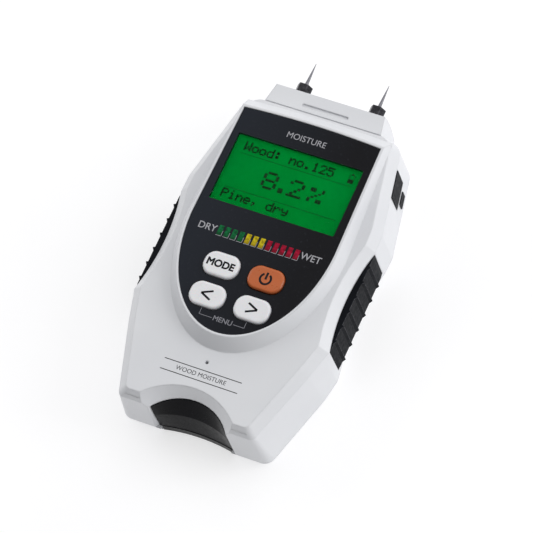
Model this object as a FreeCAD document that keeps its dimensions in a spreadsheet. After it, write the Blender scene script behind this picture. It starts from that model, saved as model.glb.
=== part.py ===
import FreeCAD, Part
import math
import os
import re

# Handheld pin-type moisture meter, millimetres.
# It lies on its back: +Z out of the display face, +Y towards the pins, +X to its right.
# The origin is on the table, under the middle of the meter.

SIZES = {
    # heights above the table
    "wall_foot": 3.2, "wall_top": 22.6, "face_level": 26.4, "rim_level": 31.2, "panel_top": 31.0,
    "panel_floor": 29.5, "panel_ceiling": 28.0, "face_ceiling": 24.2, "shell_wall": 2.2,
    # plan outline: distance from the middle, and half widths low and high on the wall
    "head_y": 52.2, "head_low": 32.6, "head_high": 32.2, "head_round": 6.0,
    "shoulder_y": 15.5, "shoulder_low": 40.4, "shoulder_high": 40.0, "shoulder_round": 4.0,
    "brow_y": 8.5, "brow_low": 40.0, "brow_high": 40.2, "brow_round": 0,
    "waist_y": -12.9, "waist_low": 36.4, "waist_high": 35.4, "waist_round": 85.0,
    "cheek_y": -34.2, "cheek_low": 40.5, "cheek_high": 40.2, "cheek_round": 0,
    "hip_y": -37.0, "hip_low": 40.8, "hip_high": 39.3, "hip_round": 0,
    "thigh_y": -45.5, "thigh_low": 39.3, "thigh_high": 37.0, "thigh_round": 12.0,
    "foot_y_low": -76.2, "foot_y_high": -75.3, "foot_low": 30.2, "foot_high": 27.6,
    "foot_round_low": 4.5, "foot_round_high": 2.5,
    "chamfer_side": 3.4, "chamfer_head": 0.4, "chamfer_foot": 2.6, "back_inset": 2.6, "back_foot_inset": 1.2,
    # shield-shaped panel
    "panel_half": 28.3, "panel_y": 45.0, "panel_rise": 1.0, "panel_mid": 29.3, "panel_mid_y": 0.0,
    "panel_drop": 43.2, "panel_gap": 0.15, "rim_width": 0.9, "ceiling_inset": 1.6,
    "bezel_half": 29.9, "bezel_y": 50.2, "bezel_rise": 0.9, "bezel_mid": 32.9, "bezel_drop": 48.4,
    # display
    "window_width": 51.5, "window_length": 28.3, "window_y": 20.45, "lens_gap": 0.05, "lens_low": 29.9,
    "lens_thick": 0.8, "glass_width": 54.0, "glass_length": 33.0, "glass_low": 28.3, "glass_thick": 1.1,
    "light_low": 26.4, "light_thick": 1.9, "frame_low": 23.2, "frame_wall": 1.0,
    # row of light bars
    "bar_pitch": 2.85, "bar_width": 1.8, "bar_length": 4.0, "bar_y": -4.8, "bar_low": 28.0,
    "bar_slot_gap": 0.05, "chip_size": 1.6, "chip_height": 0.8,
    # keys
    "key_width": 14.3, "key_length": 9.8, "key_round": 4.3, "key_gap": 0.3, "key_top": 32.2,
    "key_edge": 1.1, "key_x": 9.15, "upper_key_y": -17.9, "lower_key_y": -30.6,
    "flange_low": 26.9, "flange_top": 27.95, "flange_grow": 0.9, "stem_radius": 2.0, "stem_low": 26.2,
    "plunger_radius": 1.4, "plunger_low": 24.2, "switch_size": 6.2, "switch_height": 2.4,
    "plunger_hole": 1.75,
    # circuit board
    "board_low": 21.6, "board_thick": 1.6, "board_half": 26.2, "board_head": 42.3, "board_foot": -58.0,
    # battery, its tray and its cover
    "battery_width": 26.5, "battery_length": 48.5, "battery_height": 17.5, "battery_low": 2.2,
    "battery_foot": -64.2, "tray_wall": 1.2, "tray_gap": 0.4, "tray_top": 21.3, "tray_head": -11.3,
    "cover_half": 14.4, "cover_head": -12.4, "cover_thick": 2.0, "cover_gap": 0.3, "cover_end": 15.2,
    "rail_width": 1.2, "rail_low": 0.9, "rail_height": 0.9,
    "arch_radius": 19.4, "arch_crown": -67.0, "arch_level": 20.0, "arch_face_radius": 26.3,
    "arch_face_crown": -64.6, "fold_level": 13.0, "fold_crown": -71.5, "lip_crown": -73.6,
    "fold_end": -75.0, "hood_radius": 28.6, "hood_crown": -62.4, "hood_end": -74.4, "door_end": -72.6,
    "fold_thick": 2.0, "pillar_inner": 16.6, "pillar_outer": 25.0, "pillar_crown": -62.6,
    "battery_inside": 2.2, "stud_length": 2.4, "stud_x": 6.35, "clip_half": 12.0, "clip_thick": 1.5,
    "clip_height": 11.0, "groove_half": 9.0, "groove_pitch": 3.0, "groove_first": -58.0, "rail_foot": -60.0,
    # head block, pins and nuts
    "block_low": 6.0, "block_high": 26.0, "block_base": 24.0, "block_tip": 22.4, "block_root": 52.2,
    "block_end": 59.8, "block_bulge": 1.1, "plug_half": 20.0, "plug_low": 9.0, "plug_high": 23.0,
    "slot_half": 9.5, "slot_y": 54.7, "slot_width": 1.1, "slot_depth": 0.6,
    "pin_x": 15.25, "pin_z": 16.7, "pin_start": 50.5, "shank_radius": 1.5, "shank_end": 65.0,
    "needle_radius": 0.7, "needle_end": 67.0, "needle_tip": 76.2, "tip_radius": 0.1,
    "nut_flats": 5.5, "nut_start": 60.95, "nut_end": 66.0, "insert_radius": 2.7, "insert_start": 49.0,
    # side grips
    "grip_head": 8.0, "grip_foot": -33.7, "grip_low": 5.5, "grip_high": 22.0, "grip_inner": 36.4,
    "grip_outer": 40.2, "rib_first": 2.7, "rib_pitch": 6.25, "rib_height": 0.8, "rib_width": 1.3,
    # data port on the right wall
    "port_y": 36.9, "port_out": 35.45, "flap_half": 5.5, "flap_top": 22.0, "flap_inner": -1.0,
    "flap_outer": 0.45, "hinge_in": -0.45, "hinge_z": 11.9, "barrel_radius": 0.85, "hinge_radius": 0.4,
    "hinge_bore": 0.45, "recess_half": 5.8, "recess_floor": -1.65, "recess_top": 22.3,
    "socket_half": 4.0, "socket_low": 17.3, "socket_high": 21.6,
    # fasteners and small parts
    "screw_head": 2.6, "screw_radius": 1.45, "screw_length": 12.0, "screw_sink": 1.6, "upper_screw_x": 26.0,
    "upper_screw_y": 45.8, "lower_screw_x": 21.5, "lower_screw_y": -66.5, "boss_radius": 3.1,
    "slot_reach": 1.7, "sound_y": -53.7, "sound_radius": 0.65, "buzzer_radius": 6.0, "buzzer_x": 21.2,
    "buzzer_y": -50.0, "buzzer_low": 14.6, "chip_thick": 0.8, "lip_height": 1.6, "lip_wall": 1.3,
    "lip_fit": 0.4, "ear_half": 5.5, "ear_out": 2.1, "port_boss_half": 8.0, "port_boss_low": 9.2,
}

doc = FreeCAD.newDocument("MoistureMeter")
sheet = doc.addObject("Spreadsheet::Sheet", "Sizes")
for row, (alias, number) in enumerate(SIZES.items(), start=1):
    sheet.set(f"A{row}", alias)
    sheet.set(f"B{row}", str(number))
    sheet.setAlias(f"B{row}", alias)
doc.recompute()

nodes = []


def size(alias):
    """Value of one driving dimension, read back from the sheet."""
    return float(sheet.get(alias))


def bind(item, path, formula):
    """Tie a property to the sheet; words in the formula are aliases."""
    item.setExpression(path, re.sub(r"\b([a-z]\w*)\b", r"Sizes.\1", str(formula)))


def keep(item, name):
    """Name a finished sub-part, which becomes one exported node."""
    item.Label = name
    nodes.append(item)
    return item


# ---------------------------------------------------------------- outlines

def point(x, y):
    return FreeCAD.Vector(x, y, 0)


def rounded(corners):
    """Closed outline from (x, y, radius) corners, each corner turned into a tangent arc."""
    edges = []
    last = None
    first = None
    count = len(corners)
    for index, (x, y, radius) in enumerate(corners):
        here = point(x, y)
        before = point(*corners[index - 1][:2])
        after = point(*corners[(index + 1) % count][:2])
        inward = (before - here).normalize()
        onward = (after - here).normalize()
        start = here
        end = here
        if radius > 0:
            half = inward.getAngle(onward) / 2
            start = here + inward * (radius / math.tan(half))
            end = here + onward * (radius / math.tan(half))
            middle = here + (inward + onward).normalize() * (radius / math.sin(half) - radius)
        if last is not None:
            edges.append(Part.LineSegment(last, start))
        if radius > 0:
            edges.append(Part.Arc(start, middle, end))
        last = end
        first = first or start
    edges.append(Part.LineSegment(last, first))
    return edges


def mirrored(half):
    """Full corner list from the right half, listed from head to foot."""
    return half + [(-x, y, radius) for x, y, radius in reversed(half)]


def inset(corners, side, head, foot):
    """Corner list moved inwards: by side along the flanks, by head and foot at the two ends."""
    top = max(y for x, y, radius in corners)
    bottom = min(y for x, y, radius in corners)
    count = len(corners)
    lines = []
    for index in range(count):
        a = point(*corners[index][:2])
        b = point(*corners[(index + 1) % count][:2])
        along = (b - a).normalize()
        inward = point(along.y, -along.x)
        step = side
        if a.y == b.y == top:
            step = head
        if a.y == b.y == bottom:
            step = foot
        lines.append((a + inward * step, along))
    moved = []
    for index, (x, y, radius) in enumerate(corners):
        p, u = lines[index - 1]
        q, w = lines[index]
        cross = u.x * w.y - u.y * w.x
        reach = ((q.x - p.x) * w.y - (q.y - p.y) * w.x) / cross
        corner = p + u * reach
        moved.append((corner.x, corner.y, radius))
    return moved


def body_outline(level):
    """Hourglass plan of the meter: level is low (foot of the wall) or high (top of the wall)."""
    half = []
    for name in ("head", "shoulder", "brow", "waist", "cheek", "hip", "thigh"):
        half.append((size(f"{name}_{level}"), size(f"{name}_y"), size(f"{name}_round")))
    half.append((size(f"foot_{level}"), size(f"foot_y_{level}"), size(f"foot_round_{level}")))
    return mirrored(half)


def shield(half, top, rise, middle, middle_y, drop):
    """Shield outline: arched top, nearly straight flanks and half an ellipse at the foot."""
    crown = Part.Arc(point(-half, top), point(0, top + rise), point(half, top))
    right = Part.LineSegment(point(half, top), point(middle, middle_y))
    oval = Part.Ellipse(point(0, middle_y - drop), point(middle, middle_y), point(0, middle_y))
    bowl = Part.ArcOfEllipse(oval, -math.pi / 2, math.pi / 2)
    left = Part.LineSegment(point(-middle, middle_y), point(-half, top))
    return [crown, right, bowl, left]


def panel_shield(grow):
    return shield(size("panel_half") + grow, size("panel_y") + grow, size("panel_rise"),
                  size("panel_mid") + grow, size("panel_mid_y"), size("panel_drop") + grow)


def rectangle(low_x, low_y, high_x, high_y, radius=0):
    return rounded([(low_x, low_y, radius), (high_x, low_y, radius),
                    (high_x, high_y, radius), (low_x, high_y, radius)])


def arch(radius, crown, end):
    """Region under an arch that opens towards -Y."""
    middle = crown - radius
    half = math.sqrt(radius ** 2 - (end - middle) ** 2)
    bow = Part.Arc(point(-half, end), point(0, crown), point(half, end))
    return [bow, Part.LineSegment(point(half, end), point(-half, end))]


def band(half, crown, end, thick):
    """Curved strip between two equal arcs, one a thickness further in than the other."""
    outer = Part.Arc(point(-half, end), point(0, crown), point(half, end))
    inner = Part.Arc(point(-half, end + thick), point(0, crown + thick), point(half, end + thick))
    right = Part.LineSegment(point(half, end), point(half, end + thick))
    left = Part.LineSegment(point(-half, end), point(-half, end + thick))
    return [outer, right, inner, left]


# ---------------------------------------------------------------- features

def new_body(name):
    return doc.addObject("PartDesign::Body", name)


def sketch(body, name, geometry, level, role="XY_Plane"):
    """Sketch parallel to one of the body's origin planes, level away from it."""
    drawing = body.newObject("Sketcher::SketchObject", name)
    plane = next(item for item in body.Origin.OriginFeatures if item.Role == role)
    drawing.AttachmentSupport = (plane, [""])
    drawing.MapMode = "FlatFace"
    bind(drawing, "AttachmentOffset.Base.z", level)
    drawing.addGeometry(geometry, False)
    return drawing


def raised(body, name, geometry, low, high, role="XY_Plane"):
    """Pad from one level up to another."""
    pad = body.newObject("PartDesign::Pad", name)
    pad.Profile = sketch(body, name + "Sketch", geometry, low, role)
    bind(pad, "Length", f"({high}) - ({low})")
    return pad


def sunk(body, name, geometry, low, high, role="XY_Plane"):
    """Pocket between two levels; it is drawn on the upper one and cuts downwards."""
    pocket = body.newObject("PartDesign::Pocket", name)
    pocket.Profile = sketch(body, name + "Sketch", geometry, high, role)
    bind(pocket, "Length", f"({high}) - ({low})")
    return pocket


def lofted(body, name, kind, levels):
    """Ruled loft through (geometry, level) pairs."""
    loft = body.newObject("PartDesign::" + kind, name)
    drawings = [sketch(body, f"{name}Sketch{index}", geometry, level)
                for index, (geometry, level) in enumerate(levels)]
    loft.Profile = drawings[0]
    loft.Sections = drawings[1:]
    loft.Ruled = True
    return loft


def box(name, lows, highs):
    """Part box between two corners, each coordinate a formula of the sheet."""
    item = doc.addObject("Part::Box", name)
    for letter, length, low, high in zip("xyz", ("Length", "Width", "Height"), lows, highs):
        bind(item, "Placement.Base." + letter, low)
        bind(item, length, f"({high}) - ({low})")
    return item


def rod(name, radius, low, high, place, along="z"):
    """Part cylinder along z or y; place gives the two coordinates across its axis."""
    item = doc.addObject("Part::Cylinder", name)
    bind(item, "Radius", radius)
    bind(item, "Height", f"({high}) - ({low})")
    if along == "y":
        item.Placement.Rotation = FreeCAD.Rotation(FreeCAD.Vector(1, 0, 0), -90)
        spots = {"x": place[0], "y": low, "z": place[1]}
    else:
        spots = {"x": place[0], "y": place[1], "z": low}
    for letter, formula in spots.items():
        bind(item, "Placement.Base." + letter, formula)
    return item


def fused(name, items):
    item = doc.addObject("Part::MultiFuse", name)
    item.Shapes = items
    return item


def cut(name, base, tools):
    item = doc.addObject("Part::Cut", name)
    item.Base = base
    item.Tool = tools[0] if len(tools) == 1 else fused(name + "Tools", tools)
    return item


def group(name, items):
    """Several equal pieces that share one node."""
    item = doc.addObject("Part::Compound", name)
    item.Links = items
    return item


def at_port(item, out, along, up):
    """Place an item in the slanted frame of the right wall: out of it, along it, and up."""
    slope = (size("shoulder_high") - size("head_high")) / (size("head_y") - size("shoulder_y"))
    turn = FreeCAD.Rotation(FreeCAD.Vector(0, 0, 1), math.degrees(math.atan(slope)))
    origin = FreeCAD.Vector(size("port_out"), size("port_y"), 0)
    item.Placement = FreeCAD.Placement(origin + turn.multVec(FreeCAD.Vector(out, along, up)),
                                       turn.multiply(item.Placement.Rotation))
    return item


def port_box(name, lows, highs):
    """Box in the frame of the right wall; all six coordinates are formulas."""
    item = doc.addObject("Part::Box", name)
    for length, low, high in zip(("Length", "Width", "Height"), lows, highs):
        bind(item, length, f"({high}) - ({low})")
    corner = [sheet_value(low) for low in lows]
    return at_port(item, *corner)


def sheet_value(formula):
    """Value of a formula that adds and subtracts aliases and numbers."""
    words = re.findall(r"[+-]?\s*[\w.]+", str(formula))
    total = 0.0
    for word in words:
        sign = -1.0 if word.startswith("-") else 1.0
        term = word.strip("+- ")
        total += sign * (size(term) if term in SIZES else float(term))
    return total


def port_rod(name, radius, half, out, up):
    """Cylinder along the slanted right wall, centred on the port."""
    item = doc.addObject("Part::Cylinder", name)
    bind(item, "Radius", radius)
    bind(item, "Height", f"2*({half})")
    item.Placement.Rotation = FreeCAD.Rotation(FreeCAD.Vector(1, 0, 0), -90)
    return at_port(item, sheet_value(out), -sheet_value(half), sheet_value(up))


SCREWS = [(f"{side}{spot}_screw_x", f"{spot}_screw_y") for spot in ("upper", "lower") for side in ("", "-")]
KEYS = {
    "mode_button": ("-key_x", "upper_key_y"),
    "power_button": ("key_x", "upper_key_y"),
    "back_button": ("-key_x", "lower_key_y"),
    "next_button": ("key_x", "lower_key_y"),
}
BARS = {"led_bars_green": range(0, 4), "led_bars_yellow": range(4, 7), "led_bars_red": range(7, 12)}


def key_outline(name, grow):
    """Rounded key outline around its own centre, grown all round."""
    x, y = (sheet_value(word) for word in KEYS[name])
    half = size("key_width") / 2 + grow
    deep = size("key_length") / 2 + grow
    return rectangle(x - half, y - deep, x + half, y + deep, size("key_round") + grow)


def bar_x(index):
    """Formula of the middle of one light bar, twelve in a row."""
    return f"({index} - 5.5)*bar_pitch"


# ---------------------------------------------------------------- shells

def make_front_shell():
    """White upper housing: hourglass walls, sloped edge, raised bezel and all its openings."""
    body = new_body("FrontShellBody")
    high = body_outline("high")
    low = body_outline("low")
    wall = size("shell_wall")
    face = inset(high, size("chamfer_side"), size("chamfer_head"), size("chamfer_foot"))
    lofted(body, "Walls", "AdditiveLoft", [(rounded(low), "wall_foot"), (rounded(high), "wall_top")])
    lofted(body, "Slope", "AdditiveLoft", [(rounded(high), "wall_top"), (rounded(face), "face_level")])
    base = shield(size("bezel_half"), size("bezel_y"), size("bezel_rise"), size("bezel_mid"),
                  size("panel_mid_y"), size("bezel_drop"))
    lofted(body, "Bezel", "AdditiveLoft",
           [(base, "face_level"), (panel_shield(size("rim_width")), "rim_level")])
    lofted(body, "Hollow", "SubtractiveLoft",
           [(rounded(inset(low, wall, wall, wall)), "wall_foot"),
            (rounded(inset(high, wall, wall, wall)), "wall_top - shell_wall")])
    sunk(body, "Roof", rounded(inset(face, wall, wall, wall)), "wall_top - shell_wall", "face_ceiling")
    sunk(body, "Dome", panel_shield(-size("ceiling_inset")), "face_ceiling - 1", "panel_ceiling")
    raised(body, "Hood", arch(size("hood_radius"), size("hood_crown"), size("hood_end")),
           "arch_level", "face_ceiling + 0.2")
    for name in KEYS:
        sunk(body, name + "Room", key_outline(name, size("flange_grow") + size("key_gap")),
             "face_ceiling - 1", "panel_ceiling")
    for side in (-1, 1):
        inner = side * size("pillar_inner")
        outer = side * size("pillar_outer")
        name = "PillarLeft" if side < 0 else "PillarRight"
        pillar = rectangle(min(inner, outer), size("hood_end"), max(inner, outer), size("pillar_crown"))
        raised(body, name, pillar, "wall_foot", "face_ceiling + 0.2")
    for index, (x, y) in enumerate(SCREWS[:2]):
        spot = point(sheet_value(x), sheet_value(y))
        circle = [Part.Circle(spot, FreeCAD.Vector(0, 0, 1), size("boss_radius"))]
        raised(body, f"Boss{index}", circle, "wall_foot", "face_ceiling + 0.2")
    sunk(body, "Recess", panel_shield(0), "panel_floor", "rim_level")
    sunk(body, "Arch", arch(size("arch_radius"), size("arch_crown"), -80), "wall_foot", "arch_level")
    door = size("cover_end") + size("cover_gap")
    sunk(body, "ArchDoor", rectangle(-door, -80, door, size("door_end")), "wall_foot", "arch_level")
    lofted(body, "ArchSlope", "SubtractiveLoft",
           [(arch(size("arch_radius"), size("arch_crown"), -80), "arch_level"),
            (arch(size("arch_face_radius"), size("arch_face_crown"), -80), "face_level")])
    doc.recompute()
    port_boss = port_box("PortBoss", ("-shell_wall - 2", "-port_boss_half", "port_boss_low"),
                         ("-shell_wall + 0.4", "port_boss_half", "wall_top - 0.6"))
    solid = fused("FrontShellSolid", [body, port_boss])
    tools = [
        box("GlassOpening", ("-glass_width/2 - 0.3", "window_y - glass_length/2 - 0.3", "face_ceiling - 1"),
            ("glass_width/2 + 0.3", "window_y + glass_length/2 + 0.3", "panel_floor + 1")),
        box("BarOpening", ("-6*bar_pitch - 1", "bar_y - bar_length/2 - 0.6", "panel_ceiling - 1"),
            ("6*bar_pitch + 1", "bar_y + bar_length/2 + 0.6", "panel_floor + 1")),
        box("HeadOpening", ("-plug_half", "head_y - 4", "plug_low"),
            ("plug_half", "head_y + 2", "plug_high")),
        rod("SoundHole", "sound_radius", "face_ceiling - 1", "face_level + 1", ("0", "sound_y")),
        port_box("PortRecess", ("recess_floor", "-recess_half", "hinge_z - 1.2"),
                 ("4", "recess_half", "recess_top")),
        port_box("PortOpening", ("-6", "-socket_half - 0.3", "socket_low - 0.3"),
                 ("0", "socket_half + 0.3", "socket_high + 0.2")),
        port_rod("PortPinHole", "hinge_radius", "7", "hinge_in", "hinge_z"),
    ]
    for side in ("", "-"):
        ends = ("grip_inner", "grip_inner + 8") if not side else ("-grip_inner - 8", "-grip_inner")
        tools.append(box("GripSeat", (ends[0], "grip_foot", "grip_low"), (ends[1], "grip_head", "grip_high")))
    for x, y in SCREWS:
        tools.append(rod("ScrewHole", "screw_radius", "wall_foot - 1", "screw_length + 3", (x, y)))
    for name in KEYS:
        tools.append(key_cutter(name))
    keep(cut("FrontShell", solid, tools), "front_shell")


def key_cutter(name):
    """Opening of one key through the panel floor."""
    body = new_body(name + "Cutter")
    raised(body, name + "Opening", key_outline(name, size("key_gap")), "panel_ceiling - 1", "panel_top + 1")
    return body


def make_rear_shell():
    """White back plate with a sloped edge, a locating lip and the channel of the battery cover."""
    body = new_body("RearShellBody")
    low = body_outline("low")
    slope = size("back_inset")
    lofted(body, "BackSlope", "AdditiveLoft",
           [(rounded(inset(low, slope, slope, size("back_foot_inset"))), "0"), (rounded(low), "wall_foot")])
    fit = size("shell_wall") + size("lip_fit")
    wall = size("lip_wall")
    lip = inset(low, fit, fit, fit)
    raised(body, "Lip", rounded(lip), "wall_foot", "wall_foot + lip_height")
    sunk(body, "Tray", rounded(inset(lip, wall, wall, wall)), "wall_foot - 0.8", "wall_foot + lip_height")
    doc.recompute()
    tools = [
        box("CoverChannel", ("-cover_half - cover_gap", "foot_y_low - 2", "-1"),
            ("cover_half + cover_gap", "cover_head + cover_gap", "wall_foot + 4")),
        box("CoverGrooves", ("-cover_half - rail_width - cover_gap", "foot_y_low - 2",
                             "rail_low - cover_gap"),
            ("cover_half + rail_width + cover_gap", "cover_head + cover_gap",
             "rail_low + rail_height + cover_gap")),
        box("ArchGap", ("-pillar_inner", "foot_y_low - 2", "wall_foot"),
            ("pillar_inner", "pillar_crown", "wall_foot + 4")),
        box("PillarGap", ("-pillar_outer - 1.2", "hood_end", "wall_foot"),
            ("pillar_outer + 1.2", "pillar_crown + 1", "wall_foot + 4")),
    ]
    for x, y in SCREWS:
        tools.append(rod("HeadSink", "screw_head + 0.2", "-1", "screw_sink + 0.1", (x, y)))
        tools.append(rod("ShankHole", "screw_radius + 0.1", "0", "wall_foot + 3", (x, y)))
    for x, y in SCREWS[:2]:
        tools.append(rod("BossGap", "boss_radius + 0.3", "wall_foot", "wall_foot + 4", (x, y)))
    keep(cut("RearShell", body, tools), "rear_shell")


def make_screws():
    """Four pan-head screws that go up from the back into the front shell."""
    screws = []
    for x, y in SCREWS:
        head = rod("ScrewHead", "screw_head", "0.3", "screw_sink", (x, y))
        shank = rod("ScrewShank", "screw_radius", "screw_sink - 0.1", "screw_length", (x, y))
        socket = box("ScrewSlot", (f"{x} - slot_reach", f"{y} - 0.3", "0"),
                     (f"{x} + slot_reach", f"{y} + 0.3", "0.9"))
        cross = box("ScrewCross", (f"{x} - 0.3", f"{y} - slot_reach", "0"),
                    (f"{x} + 0.3", f"{y} + slot_reach", "0.9"))
        screws.append(cut("Screw", fused("ScrewSolid", [head, shank]), [socket, cross]))
    keep(group("Screws", screws), "housing_screws")


# ---------------------------------------------------------------- face

def make_fascia():
    """Dark shield-shaped panel with the display window, the bar slots and the key openings."""
    body = new_body("FasciaBody")
    raised(body, "Plate", panel_shield(-size("panel_gap")), "panel_floor", "panel_top")
    window = rectangle(-size("window_width") / 2, size("window_y") - size("window_length") / 2,
                       size("window_width") / 2, size("window_y") + size("window_length") / 2, 0.6)
    sunk(body, "Window", window, "panel_floor - 1", "panel_top + 1")
    tools = [key_cutter(name) for name in KEYS]
    for index in range(12):
        half = "(bar_width/2 + bar_slot_gap)"
        deep = "(bar_length/2 + bar_slot_gap)"
        middle = bar_x(index)
        tools.append(box("BarSlot", (f"{middle} - {half}", f"bar_y - {deep}", "panel_floor - 1"),
                         (f"{middle} + {half}", f"bar_y + {deep}", "panel_top + 1")))
    keep(cut("Fascia", body, tools), "fascia_panel")


def make_display():
    """Clear lens, green display glass, light guide and the frame that carries them."""
    body = new_body("LensBody")
    half = size("window_width") / 2 - size("lens_gap")
    deep = size("window_length") / 2 - size("lens_gap")
    middle = size("window_y")
    raised(body, "Lens", rectangle(-half, middle - deep, half, middle + deep, 0.55),
           "lens_low", "lens_low + lens_thick")
    keep(body, "display_lens")
    keep(box("Glass", ("-glass_width/2", "window_y - glass_length/2", "glass_low"),
             ("glass_width/2", "window_y + glass_length/2", "glass_low + glass_thick")), "display_glass")
    keep(box("Light", ("-glass_width/2 + 1", "window_y - glass_length/2 + 1", "light_low"),
             ("glass_width/2 - 1", "window_y + glass_length/2 - 1", "light_low + light_thick")),
         "display_light")
    outer = box("FrameOuter", ("-glass_width/2", "window_y - glass_length/2", "frame_low"),
                ("glass_width/2", "window_y + glass_length/2", "glass_low"))
    inner = box("FrameInner", ("-glass_width/2 + frame_wall", "window_y - glass_length/2 + frame_wall",
                               "light_low"),
                ("glass_width/2 - frame_wall", "window_y + glass_length/2 - frame_wall", "glass_low + 1"))
    keep(cut("DisplayFrame", outer, [inner]), "display_frame")


def make_bars():
    """Twelve light bars in three colours, and the lamps under them on the board."""
    lamps = []
    floor = "board_low + board_thick"
    for name, places in BARS.items():
        bars = []
        for index in places:
            middle = bar_x(index)
            bars.append(box("Bar", (f"{middle} - bar_width/2", "bar_y - bar_length/2", "bar_low"),
                            (f"{middle} + bar_width/2", "bar_y + bar_length/2", "panel_top + 0.1")))
            lamps.append(box("Lamp", (f"{middle} - chip_size/2", "bar_y - chip_size", floor),
                             (f"{middle} + chip_size/2", "bar_y + chip_size", f"{floor} + chip_height")))
        keep(group(name + "Group", bars), name)
    keep(group("Lamps", lamps), "led_lamps")


def make_keys():
    """Four domed keys; each has a flange under the panel and a plunger on its switch."""
    for name, (x, y) in KEYS.items():
        body = new_body(name + "Body")
        cap = raised(body, name + "Cap", key_outline(name, 0), "flange_top - 0.5", "key_top")
        doc.recompute()
        rim = body.newObject("PartDesign::Fillet", name + "Dome")
        top = [f"Edge{number}" for number, edge in enumerate(cap.Shape.Edges, start=1)
               if min(vertex.Z for vertex in edge.Vertexes) > size("key_top") - 0.01]
        rim.Base = (cap, top)
        bind(rim, "Radius", "key_edge")
        raised(body, name + "Flange", key_outline(name, size("flange_grow")), "flange_low", "flange_top")
        spot = point(sheet_value(x), sheet_value(y))
        upward = FreeCAD.Vector(0, 0, 1)
        raised(body, name + "Stem", [Part.Circle(spot, upward, size("stem_radius"))],
               "stem_low", "flange_low + 0.2")
        keep(body, name)
        keep(rod(name + "Plunger", "plunger_radius", "plunger_low", "stem_low", (x, y)), name + "_plunger")


def make_board():
    """Circuit board with an ear under the data socket, and the parts soldered to it."""
    main = box("BoardMain", ("-board_half", "board_foot", "board_low"),
               ("board_half", "board_head", "board_low + board_thick"))
    ear = box("BoardEar", ("board_half - 1", "port_y - ear_half", "board_low"),
              ("board_half + ear_out", "port_y + ear_half", "board_low + board_thick"))
    keep(fused("Board", [main, ear]), "circuit_board")
    housings = []
    for x, y in KEYS.values():
        top = "board_low + board_thick"
        block = box("SwitchBlock", (f"{x} - switch_size/2", f"{y} - switch_size/2", top),
                    (f"{x} + switch_size/2", f"{y} + switch_size/2", f"{top} + switch_height"))
        well = rod("SwitchWell", "plunger_hole", f"{top} + 0.4", f"{top} + switch_height + 1", (x, y))
        housings.append(cut("Switch", block, [well]))
    keep(group("Switches", housings), "key_switches")
    floor = "board_low + board_thick"
    chips = [box("Processor", ("-6", "-48", floor), ("6", "-38.5", f"{floor} + chip_thick")),
             box("Memory", ("14", "-44", floor), ("21", "-39", f"{floor} + chip_thick"))]
    keep(group("Chips", chips), "board_chips")
    keep(rod("BuzzerCan", "buzzer_radius", "buzzer_low", "board_low", ("buzzer_x", "buzzer_y")), "buzzer")


# ---------------------------------------------------------------- battery

def make_battery():
    """Nine-volt block with its two studs, and the plate of its snap clip."""
    head = "battery_foot + battery_length"
    case = box("BatteryCase", ("-battery_width/2", "battery_foot", "battery_low"),
               ("battery_width/2", head, "battery_low + battery_height"))
    keep(case, "battery")
    middle = "battery_low + battery_height/2"
    studs = [rod("Stud", radius, head, f"{head} + stud_length", (x, middle), along="y")
             for x, radius in (("-stud_x", "2.8"), ("stud_x", "3.6"))]
    keep(group("Studs", studs), "battery_studs")
    plate = box("ClipPlate", ("-clip_half", f"{head} + stud_length", f"{middle} - clip_height/2"),
                ("clip_half", f"{head} + stud_length + clip_thick", f"{middle} + clip_height/2"))
    keep(plate, "battery_clip")


def make_tray():
    """Box around the battery, open downwards and towards the foot."""
    half = "battery_width/2 + tray_gap"
    outer = box("TrayOuter", (f"-({half}) - tray_wall", "battery_foot + battery_inside", "wall_foot - 0.8"),
                (f"{half} + tray_wall", "tray_head + tray_wall", "tray_top"))
    inner = box("TrayInner", (f"-({half})", "battery_foot - 5", "0"),
                (half, "tray_head", "tray_top - tray_wall"))
    keep(cut("Tray", outer, [inner]), "battery_tray")


def make_cover():
    """Black sliding cover: back plate with side rails, and an end wall folded up into the arch."""
    body = new_body("CoverBody")
    half = size("cover_half")
    lip = Part.Arc(point(-half, size("fold_end")), point(0, size("lip_crown")), point(half, size("fold_end")))
    head = size("cover_head")
    plate = [lip, Part.LineSegment(point(half, size("fold_end")), point(half, head)),
             Part.LineSegment(point(half, head), point(-half, head)),
             Part.LineSegment(point(-half, head), point(-half, size("fold_end")))]
    raised(body, "CoverPlate", plate, "0", "cover_thick")
    end = size("cover_end")
    thick = size("fold_thick")
    top = band(end, size("arch_crown") - size("cover_gap"), size("fold_end") + 0.3, thick)
    fold = band(end, size("fold_crown"), size("fold_end"), thick)
    low = band(end, size("lip_crown") + 0.2, size("fold_end"), thick)
    neck = band(half, size("lip_crown"), size("fold_end"), thick)
    raised(body, "CoverNeck", neck, "cover_thick", "wall_foot + cover_gap")
    lofted(body, "CoverLower", "AdditiveLoft", [(low, "wall_foot + cover_gap"), (fold, "fold_level")])
    lofted(body, "CoverUpper", "AdditiveLoft", [(fold, "fold_level"), (top, "arch_level - cover_gap")])
    doc.recompute()
    rails = box("CoverRails", ("-cover_half - rail_width", "rail_foot", "rail_low"),
                ("cover_half + rail_width", "cover_head", "rail_low + rail_height"))
    grooves = []
    for step in range(5):
        start = f"groove_first + {step}*groove_pitch"
        grooves.append(box("ThumbGroove", ("-groove_half", start, "-1"),
                           ("groove_half", f"{start} + 1", "0.5")))
    solid = fused("CoverSolid", [body, rails])
    keep(cut("Cover", solid, grooves), "battery_cover")


# ---------------------------------------------------------------- head

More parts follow.
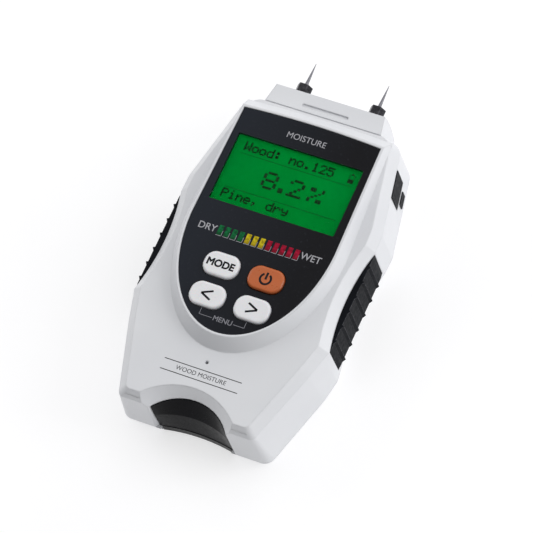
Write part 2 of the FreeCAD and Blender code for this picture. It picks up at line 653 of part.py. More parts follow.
def make_head():
    """White head block that carries the pins: bulged end, tapered sides and a shallow slot."""
    body = new_body("HeadBody")
    root = size("block_root")
    end = size("block_end")
    low = size("block_low")
    high = size("block_high")
    middle = (low + high) / 2
    profile = [Part.LineSegment(point(root, low), point(end, low)),
               Part.Arc(point(end, low), point(end + size("block_bulge"), middle), point(end, high)),
               Part.LineSegment(point(end, high), point(root, high)),
               Part.LineSegment(point(root, high), point(root, low))]
    raised(body, "HeadBlock", profile, "-block_base", "block_base", "YZ_Plane")
    taper = size("block_base") - size("block_tip")
    for side in (-1, 1):
        base = side * size("block_base")
        wedge = [point(base, root), point(base + side, root), point(base + side, end + 3),
                 point(base - side * taper * 1.3, end + 3)]
        edges = [Part.LineSegment(wedge[index - 1], wedge[index]) for index in range(4)]
        name = "TaperLeft" if side < 0 else "TaperRight"
        sunk(body, name, edges, "block_low - 1", "block_high + 1")
    raised(body, "Plug", rectangle(-size("plug_half"), root - 3.6, size("plug_half"), root + 0.5),
           "plug_low", "plug_high")
    sunk(body, "CapSlot", rectangle(-size("slot_half"), size("slot_y") - size("slot_width") / 2,
                                    size("slot_half"), size("slot_y") + size("slot_width") / 2, 0.5),
         "block_high - slot_depth", "block_high + 1")
    doc.recompute()
    bores = [rod("InsertBore", "insert_radius", "insert_start - 1", "block_end + 3", (x, "pin_z"), along="y")
             for x in ("-pin_x", "pin_x")]
    keep(cut("Head", body, bores), "head_block")


def make_pins():
    """Two needle pins in brass inserts, each held by a tall hexagonal nut."""
    inserts = []
    pins = []
    nuts = []
    for x in ("-pin_x", "pin_x"):
        sleeve = rod("Sleeve", "insert_radius", "insert_start", "nut_start", (x, "pin_z"), along="y")
        bore = rod("SleeveBore", "shank_radius", "pin_start", "nut_start + 1", (x, "pin_z"), along="y")
        inserts.append(cut("Insert", sleeve, [bore]))
        shank = rod("Shank", "shank_radius", "pin_start", "shank_end", (x, "pin_z"), along="y")
        needle = rod("Needle", "needle_radius", "shank_end - 0.5", "needle_end", (x, "pin_z"), along="y")
        tip = doc.addObject("Part::Cone", "Tip")
        bind(tip, "Radius1", "needle_radius")
        bind(tip, "Radius2", "tip_radius")
        bind(tip, "Height", "needle_tip - needle_end")
        tip.Placement.Rotation = FreeCAD.Rotation(FreeCAD.Vector(1, 0, 0), -90)
        for letter, formula in (("x", x), ("y", "needle_end"), ("z", "pin_z")):
            bind(tip, "Placement.Base." + letter, formula)
        pins.append(fused("Pin", [shank, needle, tip]))
        nuts.append(cut("Nut", hexagon(x), [
            rod("NutBore", "shank_radius", "nut_start - 1", "shank_end", (x, "pin_z"), along="y"),
            rod("NutEye", "needle_radius", "shank_end - 1", "nut_end + 1", (x, "pin_z"), along="y")]))
    keep(group("Inserts", inserts), "pin_inserts")
    keep(group("Pins", pins), "measuring_pins")
    keep(group("Nuts", nuts), "pin_nuts")


def hexagon(x):
    """Hexagonal prism along the pin, its corners rounded off at the outer end."""
    prism = doc.addObject("Part::Prism", "Hexagon")
    prism.Polygon = 6
    bind(prism, "Circumradius", "nut_flats / 1.732")
    bind(prism, "Height", "nut_end - nut_start")
    dome = rod("NutRound", "nut_flats / 1.732 - 0.12", "nut_start", "nut_end", (x, "pin_z"), along="y")
    prism.Placement.Rotation = FreeCAD.Rotation(FreeCAD.Vector(1, 0, 0), -90)
    for letter, formula in (("x", x), ("y", "nut_start"), ("z", "pin_z")):
        bind(prism, "Placement.Base." + letter, formula)
    common = doc.addObject("Part::Common", "NutBlank")
    common.Base = prism
    common.Tool = dome
    return common


# ---------------------------------------------------------------- grips and port

def make_grips():
    """Rubber pads that fill the waist, with six slanted ribs across each outer face."""
    for side, name in ((-1, "left_grip"), (1, "right_grip")):
        inner = size("grip_inner")
        outer = size("grip_outer")
        foot = size("grip_foot")
        head = size("grip_head")
        corners = [(inner, foot), (outer - 0.3, foot), (outer, foot + 2)]
        for index in reversed(range(6)):
            y = size("rib_first") - index * size("rib_pitch")
            corners += [(outer, y - size("rib_width")), (outer + size("rib_height"), y), (outer, y + 0.35)]
        corners += [(outer, head - 2), (outer - 0.3, head), (inner, head)]
        spots = [point(side * x, y) for x, y in corners]
        edges = [Part.LineSegment(spots[index - 1], spots[index]) for index in range(len(spots))]
        body = new_body(name + "Body")
        raised(body, name + "Pad", edges, "grip_low", "grip_high")
        keep(body, name)


def make_port():
    """Data socket on the right wall, behind a small rubber flap on a steel hinge pin."""
    plate = port_box("FlapPlate", ("flap_inner", "-flap_half", "hinge_z"),
                     ("flap_outer", "flap_half", "flap_top"))
    barrel = port_rod("FlapBarrel", "barrel_radius", "flap_half", "hinge_in", "hinge_z")
    bore = port_rod("FlapBore", "hinge_bore", "flap_half + 1", "hinge_in", "hinge_z")
    keep(cut("Flap", fused("FlapSolid", [plate, barrel]), [bore]), "port_flap")
    keep(port_rod("FlapPin", "hinge_radius", "7", "hinge_in", "hinge_z"), "port_hinge_pin")
    keep(port_box("Strap", ("0.36", "-2.7", "6.2"), ("0.8", "2.7", "10.2")), "port_strap")
    shell = port_box("SocketShell", ("-9.6", "-socket_half", "socket_low"),
                     ("-1.9", "socket_half", "socket_high"))
    mouth = port_box("SocketMouth", ("-8", "-socket_half + 0.5", "socket_low + 0.5"),
                     ("0", "socket_half - 0.5", "socket_high - 0.5"))
    keep(cut("Socket", shell, [mouth]), "data_socket")
    keep(port_box("Tongue", ("-8", "-2.6", "socket_low + 1.8"), ("-3", "2.6", "socket_low + 2.6")),
         "socket_tongue")


make_front_shell()
make_rear_shell()
make_screws()
make_fascia()
make_display()
make_bars()
make_keys()
make_board()
make_battery()
make_tray()
make_cover()
make_head()
make_pins()
make_grips()
make_port()
doc.recompute()

for item in doc.Objects:
    if "Invalid" in item.State or "Error" in item.State:
        raise RuntimeError(f"{item.Label} failed: {item.State}")
for item in nodes:
    if item.Shape.isNull() or not item.Shape.isValid():
        raise RuntimeError(f"{item.Label} has no valid shape")

os.makedirs("parts", exist_ok=True)
for item in nodes:
    item.Shape.exportStep(f"parts/{item.Label}.step")
    limits = item.Shape.BoundBox
    print(f"{item.Label}: {len(item.Shape.Solids)} solids, {item.Shape.Volume:.0f} mm3, "
          f"x {limits.XMin:.1f} {limits.XMax:.1f} y {limits.YMin:.1f} {limits.YMax:.1f} "
          f"z {limits.ZMin:.1f} {limits.ZMax:.1f}")
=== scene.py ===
import math

import bmesh
import bpy
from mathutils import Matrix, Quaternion, Vector


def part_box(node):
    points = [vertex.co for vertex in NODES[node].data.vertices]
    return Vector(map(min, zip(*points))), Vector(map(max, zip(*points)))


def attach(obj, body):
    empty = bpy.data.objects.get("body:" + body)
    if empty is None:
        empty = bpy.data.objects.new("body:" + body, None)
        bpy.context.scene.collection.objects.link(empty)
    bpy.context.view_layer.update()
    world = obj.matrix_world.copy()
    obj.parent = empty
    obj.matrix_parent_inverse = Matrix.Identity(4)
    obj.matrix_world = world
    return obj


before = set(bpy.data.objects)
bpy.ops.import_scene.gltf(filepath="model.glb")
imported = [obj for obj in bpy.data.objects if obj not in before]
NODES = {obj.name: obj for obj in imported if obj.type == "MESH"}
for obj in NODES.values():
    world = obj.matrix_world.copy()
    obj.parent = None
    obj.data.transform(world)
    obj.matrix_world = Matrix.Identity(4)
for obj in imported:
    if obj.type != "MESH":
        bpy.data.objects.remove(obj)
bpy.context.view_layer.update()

# Handheld moisture meter on a pale floor. Lengths are metres; MM turns millimetres into them.
MM = 0.001

PANEL_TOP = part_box("fascia_panel")[1].z
GLASS_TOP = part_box("display_glass")[1].z
FACE_LEVEL = 26.4 * MM
FLOOR_SIDE = 8
FLOOR_LEVEL = -0.3 * MM  # just under the meter's back, so that the two don't share a plane

# Print and painted highlight lines: their thickness, and the share of a font's size that its capitals take
# up.
PRINT = 0.02 * MM
CAPITAL_SHARE = 0.7

# Places of the printed detail.
HEADING_Y = 39.5 * MM
WORD_BOLD = 0.04 * MM
MENU_Y = -38.3 * MM
STRIP_HALF = 15.8 * MM
STRIP_UPPER = -57.0 * MM
STRIP_LOWER = -61.3 * MM
RULE_THICK = 0.3 * MM

# Light bars, in one row.
BAR_COUNT = 12
BAR_WIDTH = 1.8 * MM
BAR_MARGIN = 0.2 * MM

# Display: ends and thickness of its rules; side of a small dot, the width of a character cell
# in dots, and the share of a dot's side that is filled, which makes small dots run together.
RULE_LEFT = -22.4 * MM
RULE_RIGHT = 23.3 * MM
DISPLAY_THIN = 0.22 * MM
SMALL_DOT = 0.53 * MM
CELL = 5.85
SMALL_FILL = 1.25

# The surroundings are brightest in this direction.
BRIGHT_SIDE = (0.3, 0.85, 0.45)


# ---------------------------------------------------------------- shader helpers

class Surface:
    """A material with its Principled shader and short calls for procedural detail."""

    def __init__(self, name, colour, roughness, **sockets):
        self.material = bpy.data.materials.new(name)
        self.material.use_nodes = True
        self.tree = self.material.node_tree
        self.shader = self.tree.nodes["Principled BSDF"]
        self.shader.inputs["Base Color"].default_value = (*colour, 1)
        self.shader.inputs["Roughness"].default_value = roughness
        for socket, value in sockets.items():
            self.shader.inputs[socket.replace("_", " ")].default_value = value
        self.place = self.add("TexCoord").outputs["Object"]
        self.axes = self.add("SeparateXYZ")
        self.link(self.place, self.axes.inputs["Vector"])
        self.normal = None
        self.colour = None

    def add(self, kind, **settings):
        node = self.tree.nodes.new("ShaderNode" + kind)
        for key, value in settings.items():
            setattr(node, key, value)
        return node

    def link(self, output, node_input):
        self.tree.links.new(output, node_input)

    def noise(self, scale, detail=4.0, stretch=(1, 1, 1)):
        """Grey noise: scale is features per metre, times the axis's own factor in stretch."""
        mapping = self.add("Mapping")
        mapping.inputs["Scale"].default_value = stretch
        self.link(self.place, mapping.inputs["Vector"])
        texture = self.add("TexNoise")
        texture.inputs["Scale"].default_value = scale
        texture.inputs["Detail"].default_value = detail
        self.link(mapping.outputs["Vector"], texture.inputs["Vector"])
        return texture.outputs["Fac"]

    def spread(self, value, low, high, start=0.3, stop=0.7):
        """Maps a grey value from start..stop to low..high."""
        node = self.add("MapRange")
        node.inputs["From Min"].default_value = start
        node.inputs["From Max"].default_value = stop
        node.inputs["To Min"].default_value = low
        node.inputs["To Max"].default_value = high
        self.link(value, node.inputs["Value"])
        return node.outputs["Result"]

    def tint(self, value, first, second):
        """Base colour that runs from first to second with a grey value."""
        node = self.add("Mix", data_type="RGBA")
        node.inputs["A"].default_value = (*first, 1)
        self.blend(node, value, second)

    def stain(self, value, colour):
        """Lays a colour over the base colour where a grey value is high."""
        node = self.add("Mix", data_type="RGBA")
        self.link(self.colour, node.inputs["A"])
        self.blend(node, value, colour)

    def blend(self, node, value, colour):
        node.inputs["B"].default_value = (*colour, 1)
        self.link(value, node.inputs["Factor"])
        self.colour = node.outputs["Result"]
        self.link(self.colour, self.shader.inputs["Base Color"])

    def edges(self, radius, strength):
        """Grey value that is high along edges, broken up by noise."""
        bevel = self.add("Bevel", samples=4)
        bevel.inputs["Radius"].default_value = radius
        facing = self.add("VectorMath", operation="DOT_PRODUCT")
        self.link(bevel.outputs["Normal"], facing.inputs[0])
        self.link(self.add("NewGeometry").outputs["Normal"], facing.inputs[1])
        edge = self.spread(facing.outputs["Value"], strength, 0, 0.86, 0.99)
        patches = self.add("Math", operation="MULTIPLY")
        self.link(edge, patches.inputs[0])
        self.link(self.spread(self.noise(700, 5), 0.2, 1, 0.4, 0.62), patches.inputs[1])
        return patches.outputs["Value"]

    def roughen(self, value, low, high):
        self.link(self.spread(value, low, high), self.shader.inputs["Roughness"])

    def soften(self, radius):
        """Rounds the look of the edges by a radius."""
        node = self.add("Bevel", samples=6)
        node.inputs["Radius"].default_value = radius
        self.normal = node.outputs["Normal"]
        self.link(self.normal, self.shader.inputs["Normal"])

    def bump(self, value, distance, strength=1.0):
        """Surface relief of a height in metres, laid over what is there already."""
        node = self.add("Bump")
        node.inputs["Distance"].default_value = distance
        node.inputs["Strength"].default_value = strength
        self.link(value, node.inputs["Height"])
        if self.normal is not None:
            self.link(self.normal, node.inputs["Normal"])
        self.normal = node.outputs["Normal"]
        self.link(self.normal, self.shader.inputs["Normal"])


def dress(material, *names):
    """Gives CAD nodes a material."""
    for name in names:
        slots = NODES[name].data.materials
        slots.clear()
        slots.append(material)


# ---------------------------------------------------------------- materials

def white_shell():
    """Satin white moulding: fine spark texture, faint clouding, softened edges with grey handling marks."""
    look = Surface("WhiteShell", (0.68, 0.69, 0.72), 0.34, Specular_IOR_Level=0.5)
    look.tint(look.spread(look.noise(35), 0, 1), (0.68, 0.69, 0.72), (0.72, 0.73, 0.755))
    look.stain(look.edges(0.5 * MM, 0.25), (0.42, 0.42, 0.43))
    look.roughen(look.noise(220, 6), 0.30, 0.40)
    look.soften(0.8 * MM)
    look.bump(look.noise(3600, 2), 0.006 * MM, 0.5)
    return look.material


def dark_panel():
    """Anthracite lacquered panel: painted shade darkens it to the right; fine dust and worn rim."""
    look = Surface("DarkPanel", (0.014, 0.016, 0.022), 0.3, Specular_IOR_Level=0.16)
    # Painted shade: the panel's colour darkens from left to right along X, standing for the light falling
    # off across it.
    look.tint(look.spread(look.axes.outputs["X"], 0, 1, -24 * MM, 20 * MM), (0.010, 0.013, 0.020),
              (0.002, 0.002, 0.004))
    look.stain(look.spread(look.noise(900, 6), 0, 0.5, 0.6, 0.8), (0.03, 0.032, 0.04))
    look.stain(look.edges(0.2 * MM, 0.5), (0.06, 0.062, 0.07))
    look.roughen(look.noise(500, 5), 0.30, 0.42)
    look.bump(look.noise(5200, 2), 0.004 * MM, 0.5)
    return look.material


def grip_rubber():
    """Matt black rubber with a grained skin; its paler edges are painted highlight along the ribs, with some
    rubbed wear.
    """
    look = Surface("GripRubber", (0.01, 0.01, 0.013), 0.55, Specular_IOR_Level=0.06)
    look.tint(look.spread(look.noise(120, 6), 0, 1), (0.003, 0.004, 0.006), (0.008, 0.009, 0.012))
    # Painted highlight, partly rubbed wear: the edges are lightened to stand for the light lines along the
    # rib edges.
    look.stain(look.edges(0.4 * MM, 1.0), (0.15, 0.155, 0.17))
    look.roughen(look.noise(700, 5), 0.42, 0.62)
    look.soften(0.25 * MM)
    look.bump(look.noise(4200, 3), 0.02 * MM, 0.7)
    return look.material


def black_satin():
    """Black moulded plastic, satin, for the battery cover and the inner holders."""
    look = Surface("BlackSatin", (0.004, 0.004, 0.006), 0.3, Specular_IOR_Level=0.09)
    look.tint(look.spread(look.noise(90, 5), 0, 1), (0.003, 0.003, 0.004), (0.006, 0.006, 0.008))
    look.stain(look.edges(0.25 * MM, 0.6), (0.05, 0.05, 0.055))
    look.roughen(look.noise(600, 5), 0.24, 0.38)
    look.soften(0.3 * MM)
    look.bump(look.noise(4600, 2), 0.008 * MM, 0.6)
    return look.material


def key_plastic(name, colour, foot):
    """Semi-gloss key cap: its own colour on top, painted shade darkening it down its sides, softened edges.
    """
    look = Surface(name, colour, 0.32, Subsurface_Weight=0.05, Subsurface_Scale=0.4 * MM)
    deeper = tuple(0.94 * part for part in colour)
    look.tint(look.spread(look.noise(150, 4), 0, 1), deeper, colour)
    # Painted shade: below the key top the colour runs towards foot, standing for the shade on the key's
    # sides.
    look.stain(look.spread(look.axes.outputs["Z"], 1, 0, PANEL_TOP - 0.1 * MM, PANEL_TOP + 1.15 * MM), foot)
    look.roughen(look.noise(800, 4), 0.26, 0.38)
    look.soften(0.4 * MM)
    look.bump(look.noise(5000, 2), 0.004 * MM, 0.5)
    return look.material


def bar_resin(name, colour, deep):
    """Tinted resin of a light bar: cloudy, and darker towards its foot end."""
    look = Surface(name, colour, 0.2, Specular_IOR_Level=0.12)
    look.tint(look.spread(look.noise(900, 3), 0, 1), deep, colour)
    look.stain(look.spread(look.axes.outputs["Y"], 0.8, 0, -6.8 * MM, -5.2 * MM), deep)
    look.roughen(look.noise(1200, 3), 0.14, 0.26)
    look.bump(look.noise(2500, 2), 0.01 * MM, 0.5)
    return look.material


def green_display():
    """Backlit green display: an even glow, painted shade darkening its rim, and a fine dot grid."""
    look = Surface("GreenDisplay", (0.0, 0.2, 0.035), 0.4, Specular_IOR_Level=0.0)
    look.tint(look.spread(look.noise(45, 2), 0, 1), (0.0, 0.17, 0.020), (0.0, 0.20, 0.026))
    middle = look.add("VectorMath", operation="DISTANCE")
    middle.inputs[1].default_value = (0, 19 * MM, GLASS_TOP)
    look.link(look.place, middle.inputs[0])
    # Painted shade: the colour darkens away from the middle, standing for the shade along the recessed rim.
    look.stain(look.spread(middle.outputs["Value"], 0, 0.35, 14 * MM, 30 * MM), (0.0, 0.11, 0.018))
    look.shader.inputs["Emission Color"].default_value = (0.0, 0.24, 0.03, 1)
    look.shader.inputs["Emission Strength"].default_value = 0.22
    grid = look.add("TexVoronoi", distance="CHEBYCHEV")
    grid.inputs["Scale"].default_value = 2200
    grid.inputs["Randomness"].default_value = 0
    look.link(look.place, grid.inputs["Vector"])
    look.bump(grid.outputs["Distance"], 0.003 * MM, 0.3)
    return look.material


def display_ink():
    """Dark segments of the display."""
    look = Surface("DisplayInk", (0.001, 0.02, 0.004), 0.5, Specular_IOR_Level=0.1)
    look.tint(look.spread(look.noise(1500, 2), 0, 1), (0.0, 0.012, 0.002), (0.002, 0.03, 0.005))
    return look.material


def clear_lens():
    """Clear window over the display with a faint, uneven tint."""
    look = Surface("ClearLens", (1, 1, 1), 0.0, Transmission_Weight=1.0, IOR=1.04)
    look.tint(look.spread(look.noise(300, 4), 0, 1), (0.97, 1, 0.98), (1, 1, 1))
    return look.material


def metal(name, colour, low, high):
    """Bare metal with fine drawn lines; its roughness runs from low to high."""
    look = Surface(name, colour, low, Metallic=1.0)
    lines = look.noise(2500, 4, stretch=(1, 12, 1))
    look.roughen(lines, low, high)
    look.bump(lines, 0.003 * MM, 0.5)
    return look.material


def black_nut():
    """Blackened steel nut: mottled dark oxide and softened edges."""
    look = Surface("BlackNut", (0.03, 0.03, 0.034), 0.25, Metallic=0.9)
    look.tint(look.spread(look.noise(900, 5), 0, 1), (0.018, 0.018, 0.021), (0.06, 0.06, 0.066))
    look.roughen(look.noise(1500, 4), 0.18, 0.34)
    look.soften(0.15 * MM)
    return look.material


def circuit_green():
    """Green solder mask with faint tracks under it."""
    look = Surface("CircuitGreen", (0.01, 0.12, 0.04), 0.35, Coat_Weight=0.4, Coat_Roughness=0.15)
    tracks = look.add("TexWave", bands_direction="DIAGONAL")
    tracks.inputs["Scale"].default_value = 260
    tracks.inputs["Distortion"].default_value = 3
    look.link(look.place, tracks.inputs["Vector"])
    look.tint(look.spread(tracks.outputs["Fac"], 0, 1, 0.55, 0.65), (0.006, 0.085, 0.03),
              (0.012, 0.15, 0.055))
    look.bump(tracks.outputs["Fac"], 0.02 * MM, 0.4)
    return look.material


def battery_sleeve():
    """Dark printed sleeve of the battery with a copper-coloured band at its head."""
    look = Surface("BatterySleeve", (0.03, 0.03, 0.035), 0.3, Metallic=0.3)
    look.tint(look.spread(look.axes.outputs["Y"], 0, 1, -30.2 * MM, -30 * MM), (0.03, 0.03, 0.035),
              (0.5, 0.22, 0.08))
    look.roughen(look.noise(400, 4), 0.24, 0.38)
    return look.material


def print_ink(name, colour):
    """Pad-printed ink with a faintly mottled tone."""
    look = Surface(name, colour, 0.5, Specular_IOR_Level=0.1)
    faded = tuple(0.8 * part for part in colour)
    look.tint(look.spread(look.noise(1800, 3), 0, 1), faded, colour)
    return look.material


def light_guide():
    """Milky light guide and lamp bodies."""
    look = Surface("LightGuide", (0.7, 0.78, 0.72), 0.4, Subsurface_Weight=0.2, Subsurface_Scale=1 * MM)
    look.roughen(look.noise(500, 3), 0.35, 0.5)
    return look.material


# ---------------------------------------------------------------- printed detail and painted highlight lines

def finish_piece(piece, material, body):
    """Gives a piece its material and the body that it moves with."""
    piece.data.materials.append(material)
    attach(piece, body)
    return piece


def lettering(name, text, tall, place, material, body="housing", bold=0.0):
    """Printed word centred on a point: tall is the height of its capitals, bold widens its strokes."""
    curve = bpy.data.curves.new(name, "FONT")
    curve.body = text
    curve.align_x = "CENTER"
    curve.align_y = "CENTER"
    curve.size = tall / CAPITAL_SHARE
    curve.bevel_depth = bold
    curve.bevel_resolution = 0
    piece = bpy.data.objects.new(name, curve)
    bpy.context.scene.collection.objects.link(piece)
    piece.location = Vector(place) + Vector((0, 0, PRINT / 2))
    piece.scale = (1, 1, PRINT / (2 * max(bold, PRINT)))
    return finish_piece(piece, material, body)


def plates(name, outlines, level, material, body="housing"):
    """Print, and painted highlight lines, as thin flat plates from lists of (x, y) corners, in metres."""
    mesh = bpy.data.meshes.new(name)
    shape = bmesh.new()
    for outline in outlines:
        ring = [shape.verts.new((x, y, level)) for x, y in outline]
        face = shape.faces.new(ring)
        raised = bmesh.ops.extrude_face_region(shape, geom=[face])
        top = [part for part in raised["geom"] if isinstance(part, bmesh.types.BMVert)]
        bmesh.ops.translate(shape, vec=(0, 0, PRINT), verts=top)
    bmesh.ops.recalc_face_normals(shape, faces=shape.faces)
    shape.to_mesh(mesh)
    shape.free()
    piece = bpy.data.objects.new(name, mesh)
    bpy.context.scene.collection.objects.link(piece)
    return finish_piece(piece, material, body)


def block(x, y, wide, tall):
    """Corners of an upright rectangle about its middle."""
    return [(x - wide / 2, y - tall / 2), (x + wide / 2, y - tall / 2),
            (x + wide / 2, y + tall / 2), (x - wide / 2, y + tall / 2)]


def stroke(start, end, wide):
    """Corners of a straight stroke between two points."""
    first = Vector(start)
    last = Vector(end)
    side = (last - first).normalized().orthogonal() * (wide / 2)
    return [tuple(first + side), tuple(first - side), tuple(last - side), tuple(last + side)]


def ring_strokes(centre, radius, wide, start, stop, count):
    """Short pieces that together follow an arc, angles in degrees."""
    corners = []
    angles = [math.radians(start + (stop - start) * step / count) for step in range(count + 1)]
    for first, last in zip(angles, angles[1:]):
        inner = radius - wide / 2
        outer = radius + wide / 2
        corners.append([(centre[0] + reach * math.cos(angle), centre[1] + reach * math.sin(angle))
                        for reach, angle in ((inner, first), (outer, first), (outer, last), (inner, last))])
    return corners


# Five by seven dot patterns of the characters on the display, one text row per dot row.
DOTS = {
    "W": "#...# #...# #...# #.#.# #.#.# ##.## #...#", "o": "..... ..... .###. #...# #...# #...# .###.",
    "d": "....# ....# .#### #...# #...# #...# .####", ":": "..... .##.. .##.. ..... .##.. .##.. .....",
    "n": "..... ..... #.##. ##..# #...# #...# #...#", ".": "..... ..... ..... ..... ..... .##.. .##..",
    "1": "..#.. .##.. ..#.. ..#.. ..#.. ..#.. .###.", "2": ".###. #...# ....# ...#. ..#.. .#... #####",
    "5": "##### #.... ####. ....# ....# #...# .###.", "P": "####. #...# #...# ####. #.... #.... #....",
    "i": "..#.. ..... .##.. ..#.. ..#.. ..#.. .###.", "e": "..... ..... .###. #...# ##### #.... .###.",
    ",": "..... ..... ..... ..... .##.. ..#.. .#...", "r": "..... ..... #.##. ##..# #.... #.... #....",
    "y": "..... ..... #...# #...# .#### ....# .###.", "8": ".###. #...# #...# .###. #...# #...# .###.",
    "%": "##..# ##..# ...#. ..#.. .#... #..## #..##", " ": "..... ..... ..... ..... ..... ..... .....",
}


def dotted(name, text, corner, wide, tall, step, material, fill=0.96):
    """Dot-matrix text from its upper left dot: wide and tall are one dot, step is a cell in dots."""
    squares = []
    for place, letter in enumerate(text):
        for row, line in enumerate(DOTS[letter].split()):
            for column, mark in enumerate(line):
                if mark == "#":
                    x = corner[0] + (place * step + column) * wide
                    squares.append(block(x, corner[1] - row * tall, wide * fill, tall * fill))
    return plates(name, squares, GLASS_TOP, material)


def display_marks(ink):
    """Reading, two caption lines, rules and a battery sign on the display."""
    dotted("display_line_upper", "Wood: no.125", (-21.6 * MM, 32.4 * MM), SMALL_DOT, SMALL_DOT, CELL, ink,
           SMALL_FILL)
    dotted("display_line_lower", "Pine, dry", (-22.3 * MM, 12.1 * MM), SMALL_DOT, SMALL_DOT, CELL, ink,
           SMALL_FILL)
    dotted("display_eight", "8", (-9.3 * MM, 23.3 * MM), 1.22 * MM, 1.02 * MM, 0, ink)
    dotted("display_point", ".", (-3.1 * MM, 23.3 * MM), 1.0 * MM, 1.02 * MM, 0, ink)
    dotted("display_two", "2", (1.5 * MM, 23.3 * MM), 1.22 * MM, 1.02 * MM, 0, ink)
    dotted("display_percent", "%", (9.8 * MM, 22.6 * MM), 1.16 * MM, 0.84 * MM, 0, ink)
    rules = [stroke((RULE_LEFT, y * MM), (RULE_RIGHT, y * MM), DISPLAY_THIN) for y in (27.6, 13.1)]
    rules += battery_sign(22.1 * MM, 28.8 * MM, 32.2 * MM)
    plates("display_rules", rules, GLASS_TOP, ink)


def battery_sign(x, low, high):
    """Outline of a battery about x, open at its foot, half full and with its contact on top."""
    half = 1.0 * MM
    sides = [stroke((x + side * half, low), (x + side * half, high), DISPLAY_THIN) for side in (-1, 1)]
    lid = stroke((x - half, high), (x + half, high), DISPLAY_THIN)
    charge = block(x, low + 0.8 * MM, 2 * half, 1.7 * MM)
    contact = block(x, high + 0.4 * MM, 0.8 * MM, 0.5 * MM)
    return sides + [lid, charge, contact]


def bar_highlight_lines(ink):
    """Painted highlight: a pale line along the lower and the right edge of each light bar."""
    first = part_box("led_bars_green")[0]
    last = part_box("led_bars_red")[1]
    pitch = (last.x - first.x - BAR_WIDTH) / (BAR_COUNT - 1)
    low = first.y - BAR_MARGIN
    middle = (first.y + last.y) / 2
    reach = BAR_WIDTH / 2 + BAR_MARGIN
    lines = []
    for index in range(BAR_COUNT):
        x = first.x + BAR_WIDTH / 2 + index * pitch
        corner = (x + reach, low)
        lines.append(stroke((x - reach, low), corner, 0.18 * MM))
        lines.append(stroke(corner, (x + reach, middle), 0.16 * MM))
    plates("bar_highlight_lines", lines, PANEL_TOP, ink)


def panel_print(pale, grey):
    """Words and menu brackets on the dark panel."""
    lettering("word_heading", "MOISTURE", 2.4 * MM, (0, HEADING_Y, PANEL_TOP), pale)
    for name, text, x, y in (("word_dry", "DRY", -21.0, -5.0), ("word_wet", "WET", 21.4, -4.6)):
        lettering(name, text, 2.7 * MM, (x * MM, y * MM, PANEL_TOP), pale, bold=WORD_BOLD)
    lettering("word_menu", "MENU", 2.0 * MM, (0.4 * MM, MENU_Y + 0.1 * MM, PANEL_TOP), grey, bold=0.03 * MM)
    thin = 0.2 * MM
    lines = []
    for side, inner in ((-1, 4.0), (1, 4.8)):
        corner = (side * 9.2 * MM, MENU_Y)
        lines.append(stroke((corner[0], MENU_Y + 2.6 * MM), corner, thin))
        lines.append(stroke(corner, (side * inner * MM, MENU_Y), thin))
    plates("menu_brackets", lines, PANEL_TOP, grey)


def key_print(black):
    """Signs on the keys; each rides on its own key."""
    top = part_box("mode_button")[1].z
    middle = {name: (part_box(name)[0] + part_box(name)[1]) / 2
              for name in ("mode_button", "power_button", "back_button", "next_button")}
    spot = middle["mode_button"]
    lettering("sign_mode", "MODE", 2.75 * MM, (spot.x - 0.2 * MM, spot.y - 0.1 * MM, top), black, "mode_key",
              bold=0.17 * MM)
    spot = middle["power_button"]
    wide = 0.85 * MM
    ring = ring_strokes((spot.x, spot.y - 0.1 * MM), 2.1 * MM, wide, start=122, stop=418, count=30)
    ring.append(stroke((spot.x, spot.y - 0.3 * MM), (spot.x, spot.y + 2.6 * MM), wide))
    plates("sign_power", ring, top, black, "power_key")
    for name, body, way in (("back_button", "back_key", -1), ("next_button", "next_key", 1)):
        spot = middle[name]
        nose = (spot.x + way * 2.3 * MM, spot.y)
        arms = [stroke((spot.x - way * 1.9 * MM, spot.y + side * 1.85 * MM), nose, 0.8 * MM)
                for side in (-1, 1)]
        plates("sign_" + body, arms, top, black, body)


def label_strip(black):
    """Plain word between two rules on the lower face."""
    rules = [stroke((-STRIP_HALF, y), (STRIP_HALF, y), RULE_THICK) for y in (STRIP_UPPER, STRIP_LOWER)]
    plates("strip_rules", rules, FACE_LEVEL, black)
    middle = (0, (STRIP_UPPER + STRIP_LOWER) / 2, FACE_LEVEL)
    lettering("strip_word", "WOOD MOISTURE", 1.7 * MM, middle, black)


# ---------------------------------------------------------------- stage

def camera():
    """Camera of the product view: a long lens above the foot's right side, rolled about its axis."""
    target = Vector((-0.25, -6.07, 12.5)) * MM
    azimuth = math.radians(46.98)
    elevation = math.radians(61.91)
    roll = math.radians(-25.4)
    distance = 1.5127
    away = Vector((math.sin(azimuth) * math.cos(elevation), -math.cos(azimuth) * math.cos(elevation),
                   math.sin(elevation)))
    data = bpy.data.cameras.new("Camera")
    data.lens = 275
    data.sensor_width = 36
    data.clip_end = 20
    eye = bpy.data.objects.new("Camera", data)
    bpy.context.scene.collection.objects.link(eye)
    eye.location = target + away * distance
    eye.rotation_mode = "QUATERNION"
    eye.rotation_quaternion = away.to_track_quat("Z", "Y") @ Quaternion((0, 0, 1), roll)
    bpy.context.scene.camera = eye


def lamp(name, place, wide, watts):
    """Square soft box that shines at the meter."""
    data = bpy.data.lights.new(name, "AREA")
    data.size = wide
    data.energy = watts
    lit = bpy.data.objects.new(name, data)
    bpy.context.scene.collection.objects.link(lit)
    lit.location = place
    lit.rotation_mode = "QUATERNION"
    lit.rotation_quaternion = Vector(place).to_track_quat("Z", "Y")


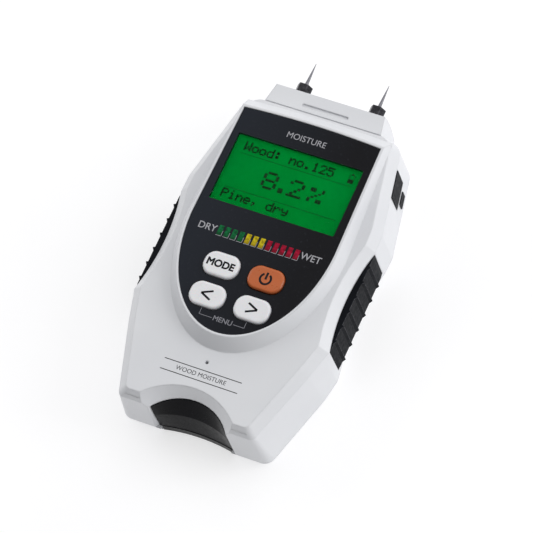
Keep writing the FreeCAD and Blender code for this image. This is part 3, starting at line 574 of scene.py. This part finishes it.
def studio():
    """Pale floor, white surroundings that are brightest beyond the pins, and a soft box on each side."""
    world = bpy.data.worlds.new("Studio")
    world.use_nodes = True
    tree = world.node_tree
    ray = tree.nodes.new("ShaderNodeTexCoord")
    aim = tree.nodes.new("ShaderNodeVectorMath")
    aim.operation = "DOT_PRODUCT"
    aim.inputs[1].default_value = BRIGHT_SIDE
    tree.links.new(ray.outputs["Generated"], aim.inputs[0])
    ramp = tree.nodes.new("ShaderNodeMapRange")
    ramp.inputs["From Min"].default_value = -0.7
    ramp.inputs["From Max"].default_value = 1.0
    ramp.inputs["To Min"].default_value = 0.08
    ramp.inputs["To Max"].default_value = 1.15
    tree.links.new(aim.outputs["Value"], ramp.inputs["Value"])
    tree.links.new(ramp.outputs["Result"], tree.nodes["Background"].inputs["Strength"])
    tree.nodes["Background"].inputs["Color"].default_value = (1, 1, 1, 1)
    bpy.context.scene.world = world
    bpy.context.scene.view_settings.view_transform = "Standard"
    lamp("KeyLight", (0.9, 0.3, 0.5), 0.5, 3)
    lamp("FillLight", (-0.9, 0.2, 0.45), 0.6, 2)
    mesh = bpy.data.meshes.new("Floor")
    corners = block(0, 0, FLOOR_SIDE, FLOOR_SIDE)
    mesh.from_pydata([(x, y, FLOOR_LEVEL) for x, y in corners], [], [(0, 1, 2, 3)])
    floor = bpy.data.objects.new("Floor", mesh)
    bpy.context.scene.collection.objects.link(floor)
    look = Surface("FloorPaper", (0.5, 0.5, 0.5), 0.9, Specular_IOR_Level=0.1)
    look.tint(look.spread(look.noise(8), 0, 1), (0.47, 0.47, 0.48), (0.51, 0.51, 0.52))
    look.shader.inputs["Emission Color"].default_value = (1, 1, 1, 1)
    look.shader.inputs["Emission Strength"].default_value = 0.58
    floor.data.materials.append(look.material)


# ---------------------------------------------------------------- the meter

def dress_all():
    """One material for every CAD node."""
    dress(white_shell(), "front_shell", "rear_shell", "head_block")
    dress(dark_panel(), "fascia_panel")
    dress(clear_lens(), "display_lens")
    dress(green_display(), "display_glass")
    dress(light_guide(), "display_light", "led_lamps")
    dress(black_satin(), "display_frame", "battery_cover", "battery_tray", "battery_clip", "buzzer",
          "board_chips", "socket_tongue", "mode_button_plunger", "power_button_plunger",
          "back_button_plunger", "next_button_plunger")
    dress(bar_resin("BarGreen", (0.003, 0.16, 0.045), (0.001, 0.05, 0.014)), "led_bars_green")
    dress(bar_resin("BarYellow", (0.66, 0.54, 0.01), (0.26, 0.18, 0.004)), "led_bars_yellow")
    dress(bar_resin("BarRed", (0.42, 0.003, 0.035), (0.14, 0.001, 0.010)), "led_bars_red")
    # The second colour of each key is its painted side shade.
    dress(key_plastic("KeyWhite", (0.80, 0.80, 0.82), (0.30, 0.30, 0.33)), "mode_button", "back_button",
          "next_button")
    dress(key_plastic("KeyOrange", (0.50, 0.11, 0.02), (0.06, 0.010, 0.004)), "power_button")
    dress(grip_rubber(), "left_grip", "right_grip", "port_flap", "port_strap")
    dress(metal("PinSteel", (0.20, 0.20, 0.22), 0.16, 0.3), "measuring_pins", "port_hinge_pin")
    dress(metal("PlainSteel", (0.55, 0.55, 0.56), 0.25, 0.4), "housing_screws", "key_switches")
    dress(metal("Nickel", (0.66, 0.64, 0.6), 0.2, 0.32), "battery_studs", "data_socket")
    dress(metal("Brass", (0.72, 0.5, 0.2), 0.2, 0.35), "pin_inserts")
    dress(black_nut(), "pin_nuts")
    dress(circuit_green(), "circuit_board")
    dress(battery_sleeve(), "battery")


def print_all():
    """Everything that is printed on the panel, keys, display and housing, and the painted highlight lines at
    the light bars.
    """
    # The pale ink serves both the printed words and the painted highlight lines at the light bars.
    pale = print_ink("PalePrintAndHighlight", (0.42, 0.42, 0.45))
    black = print_ink("BlackPrint", (0.012, 0.012, 0.016))
    display_marks(display_ink())
    # Painted highlight lines at the light bars, in the pale ink.
    bar_highlight_lines(pale)
    panel_print(pale, print_ink("GreyPrint", (0.27, 0.27, 0.30)))
    key_print(black)
    label_strip(black)


dress_all()
print_all()
studio()
camera()
